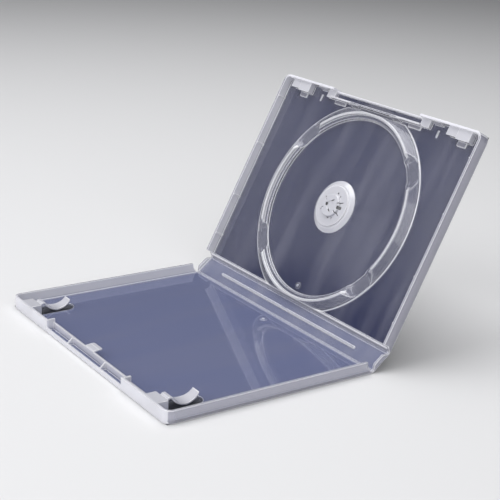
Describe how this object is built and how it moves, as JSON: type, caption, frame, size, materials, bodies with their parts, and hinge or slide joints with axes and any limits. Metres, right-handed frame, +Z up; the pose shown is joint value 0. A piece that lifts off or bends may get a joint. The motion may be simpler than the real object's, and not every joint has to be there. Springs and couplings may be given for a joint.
{
  "type": "optical disc case",
  "caption": "Clear moulded keep case for an optical disc, standing open: front cover with leaflet clips, spine on living hinges, and a disc tray with a push hub, in a clear film sleeve.",
  "frame": {"origin": "on the outer face of the front cover, half way from its hinge line to its opening edge and half way along the spine", "axes": "+Z up out of the floor that the front cover lies on, +X from the cover's opening edge across the hinges to the tray, +Y along the hinges"},
  "size_m": [0.2091, 0.189, 0.1338],
  "materials": {
    "clear_polypropylene": "clear, slightly milky, smooth",
    "sleeve_film": "clear glossy film"
  },
  "bodies": {
    "cover": {"front_cover": "clear_polypropylene", "film_front": "sleeve_film"},
    "back": {"spine": "clear_polypropylene", "film_spine": "sleeve_film"},
    "tray": {"disc_tray": "clear_polypropylene", "film_back": "sleeve_film"}
  },
  "joints": [
    {"name": "cover_hinge", "type": "hinge", "parent": "cover", "child": "back", "pos_m": [0.068, 0, 0.00045], "axis": [0, -1, 0], "range_deg": [-39.5, 50.5]},
    {"name": "tray_hinge", "type": "hinge", "parent": "back", "child": "tray", "pos_m": [0.07911, 0, 0.00961], "axis": [0, -1, 0], "range_deg": [-23.5, 66.5]}
  ]
}
